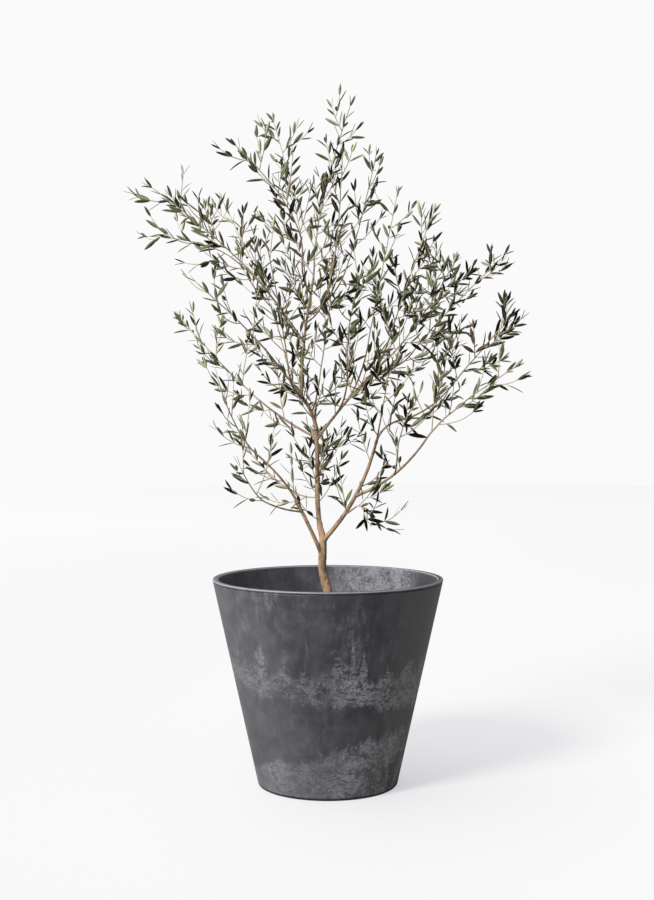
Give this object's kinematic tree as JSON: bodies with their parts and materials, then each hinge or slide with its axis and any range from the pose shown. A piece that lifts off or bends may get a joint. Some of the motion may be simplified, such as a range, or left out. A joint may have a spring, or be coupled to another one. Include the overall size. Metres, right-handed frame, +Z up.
{
  "type": "potted olive tree",
  "caption": "Young olive tree with slender boughs and narrow grey-green leaves, growing in a tall round tapered dark planter with a stone-like finish.",
  "frame": {"origin": "centre of the pot's flat underside, where it stands", "axes": "+Z up from the pot's foot to the top of the tree, -Y towards the viewer of the tree's front, +X to that viewer's right"},
  "size_m": [0.6449, 0.4788, 1.119],
  "materials": {
    "pot": "slate-look composite, dark grey with lighter flame-like bands, nearly matt",
    "soil": "dark crumbly potting soil",
    "bark": "tan brown young bark, fine lengthwise cracks",
    "foliage": "narrow leathery leaves, dark green above and silvery beneath, on pale beige twigs"
  },
  "bodies": {
    "root": {"pot": "pot", "soil": "soil", "trunk": "bark", "bough_left_low": "bark", "bough_left_outer": "bark", "bough_left_foot": "bark", "bough_right": "bark", "bough_right_low": "bark", "bough_right_middle": "bark", "bough_right_inner": "bark", "bough_right_spur": "bark", "bough_low_right": "bark", "bough_centre": "bark", "bough_left_middle": "bark", "bough_leader": "bark", "bough_upper_left": "bark", "bough_far_left": "bark", "bough_top": "bark", "bough_top_left": "bark", "bough_top_back": "bark", "bough_top_front": "bark", "bough_top_right": "bark", "bough_right_long": "bark", "bough_right_front": "bark", "bough_right_back": "bark", "bough_right_outer": "bark", "bough_front_middle": "bark", "bough_left_long": "bark", "bough_back_middle": "bark", "bough_back_left": "bark", "bough_front_left": "bark", "bough_back_right": "bark", "foliage_left_outer": "foliage", "foliage_left_foot": "foliage", "foliage_left_inner": "foliage", "foliage_right_edge": "foliage", "foliage_right_middle": "foliage", "foliage_right_inner": "foliage", "foliage_right_spur": "foliage", "foliage_low_right": "foliage", "foliage_back_low": "foliage", "foliage_left_middle": "foliage", "foliage_upper_left": "foliage", "foliage_far_left": "foliage", "foliage_top": "foliage", "foliage_top_left": "foliage", "foliage_top_back": "foliage", "foliage_top_front": "foliage", "foliage_top_right": "foliage", "foliage_right_long": "foliage", "foliage_right_front": "foliage", "foliage_right_back": "foliage", "foliage_right_outer": "foliage", "foliage_front_middle": "foliage", "foliage_left_long": "foliage", "foliage_back_middle": "foliage", "foliage_back_left": "foliage", "foliage_front_left": "foliage", "foliage_back_right": "foliage"}
  },
  "joints": []
}
